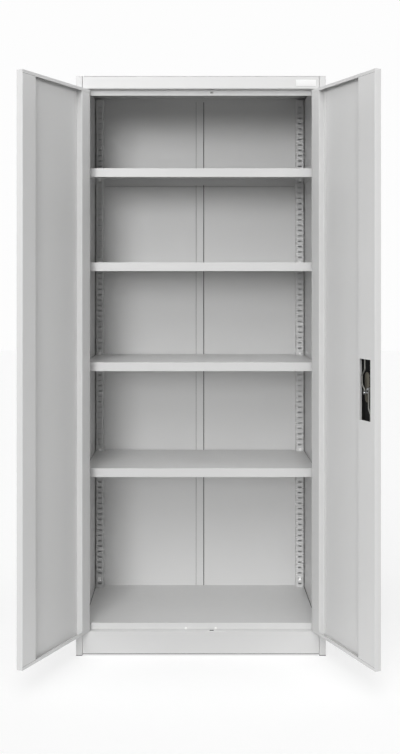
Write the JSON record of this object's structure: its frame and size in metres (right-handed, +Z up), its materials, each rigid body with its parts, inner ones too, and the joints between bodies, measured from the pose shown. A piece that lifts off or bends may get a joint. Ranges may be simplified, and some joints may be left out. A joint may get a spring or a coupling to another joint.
{
  "type": "two-door steel storage cabinet",
  "caption": "Tall sheet steel storage cabinet with hinged double doors open, loose shelves on clips in slotted uprights, and a turn handle that drives locking rods.",
  "frame": {"origin": "middle of the base of the whole object's box, doors open as stored, on the ground plane", "axes": "+Z up, +Y from the door side towards the back, +X to the right as seen from the front"},
  "size_m": [1.0581, 0.7814, 1.856],
  "materials": {
    "cabinet_paint": "light grey powder coat, fine satin texture",
    "shelf_paint": "light grey powder coat, fine satin texture",
    "door_paint": "light grey powder coat, fine satin texture",
    "clip_plastic": "white moulded nylon",
    "foot_plastic": "dark grey moulded plastic",
    "black_plastic": "black moulded plastic",
    "zinc_steel": "bright zinc plated",
    "brass": "nickel brass lock barrel"
  },
  "bodies": {
    "cabinet": {"back_joint_strip": "cabinet_paint", "back_panel_left": "cabinet_paint", "back_panel_right": "cabinet_paint", "floor_panel": "cabinet_paint", "header_rail": "cabinet_paint", "left_bottom_hinge_pin": "zinc_steel", "left_door_buffer": "clip_plastic", "left_front_foot": "foot_plastic", "left_inner_wall": "cabinet_paint", "left_rear_foot": "foot_plastic", "left_rear_upright": "cabinet_paint", "left_side_panel": "cabinet_paint", "left_spare_clip": "clip_plastic", "left_top_hinge_pin": "zinc_steel", "plinth": "cabinet_paint", "right_bottom_hinge_pin": "zinc_steel", "right_door_buffer": "clip_plastic", "right_front_foot": "foot_plastic", "right_inner_wall": "cabinet_paint", "right_rear_foot": "foot_plastic", "right_rear_upright": "cabinet_paint", "right_side_panel": "cabinet_paint", "right_spare_clip": "clip_plastic", "right_top_hinge_pin": "zinc_steel", "roof_panel": "cabinet_paint", "shelf_1": "shelf_paint", "shelf_1_left_front_clip": "clip_plastic", "shelf_1_left_rear_clip": "clip_plastic", "shelf_1_right_front_clip": "clip_plastic", "shelf_1_right_rear_clip": "clip_plastic", "shelf_2": "shelf_paint", "shelf_2_left_front_clip": "clip_plastic", "shelf_2_left_rear_clip": "clip_plastic", "shelf_2_right_front_clip": "clip_plastic", "shelf_2_right_rear_clip": "clip_plastic", "shelf_3": "shelf_paint", "shelf_3_left_front_clip": "clip_plastic", "shelf_3_left_rear_clip": "clip_plastic", "shelf_3_right_front_clip": "clip_plastic", "shelf_3_right_rear_clip": "clip_plastic", "shelf_4": "shelf_paint", "shelf_4_left_front_clip": "clip_plastic", "shelf_4_left_rear_clip": "clip_plastic", "shelf_4_right_front_clip": "clip_plastic", "shelf_4_right_rear_clip": "clip_plastic"},
    "left_door": {"left_door": "door_paint", "left_door_edge_channel": "door_paint", "left_door_hinge_channel": "door_paint"},
    "right_door": {"right_door": "door_paint", "right_door_edge_channel": "door_paint", "right_door_hinge_channel": "door_paint", "lock_case": "black_plastic", "handle_plate": "black_plastic", "upper_rod_guide": "foot_plastic", "lower_rod_guide": "foot_plastic"},
    "turn_handle": {"turn_handle": "black_plastic", "lock_cam": "zinc_steel"},
    "lock_barrel": {"lock_barrel": "brass"},
    "upper_lock_rod": {"upper_lock_rod": "zinc_steel"},
    "lower_lock_rod": {"lower_lock_rod": "zinc_steel"}
  },
  "joints": [
    {"name": "left_door_hinge", "type": "hinge", "parent": "cabinet", "child": "left_door", "pos_m": [-0.3663, -0.0418, 0.0782], "axis": [0, 0, 1], "range_deg": [-0.4, 115.4]},
    {"name": "right_door_hinge", "type": "hinge", "parent": "cabinet", "child": "right_door", "pos_m": [0.3779, -0.0418, 0.0782], "axis": [0, 0, -1], "range_deg": [-3.6, 112.2]},
    {"name": "handle_turn", "type": "hinge", "parent": "right_door", "child": "turn_handle", "pos_m": [0.5015, -0.33277, 0.88], "axis": [0.9259, 0.3778, 0], "range_deg": [0, 90]},
    {"name": "key_turn", "type": "hinge", "parent": "turn_handle", "child": "lock_barrel", "pos_m": [0.5015, -0.33277, 0.88], "axis": [0.9259, 0.3778, 0], "range_deg": [0, 90]},
    {"name": "upper_rod_slide", "type": "slide", "parent": "right_door", "child": "upper_lock_rod", "axis": [0, 0, 1], "range_m": [0, 0.0171]},
    {"name": "lower_rod_slide", "type": "slide", "parent": "right_door", "child": "lower_lock_rod", "axis": [0, 0, -1], "range_m": [0, 0.0171]}
  ],
  "couplings": [
    {"joint": "upper_rod_slide", "follows": "handle_turn", "m_per_rad": 0.010762},
    {"joint": "lower_rod_slide", "follows": "handle_turn", "m_per_rad": 0.010762}
  ]
}
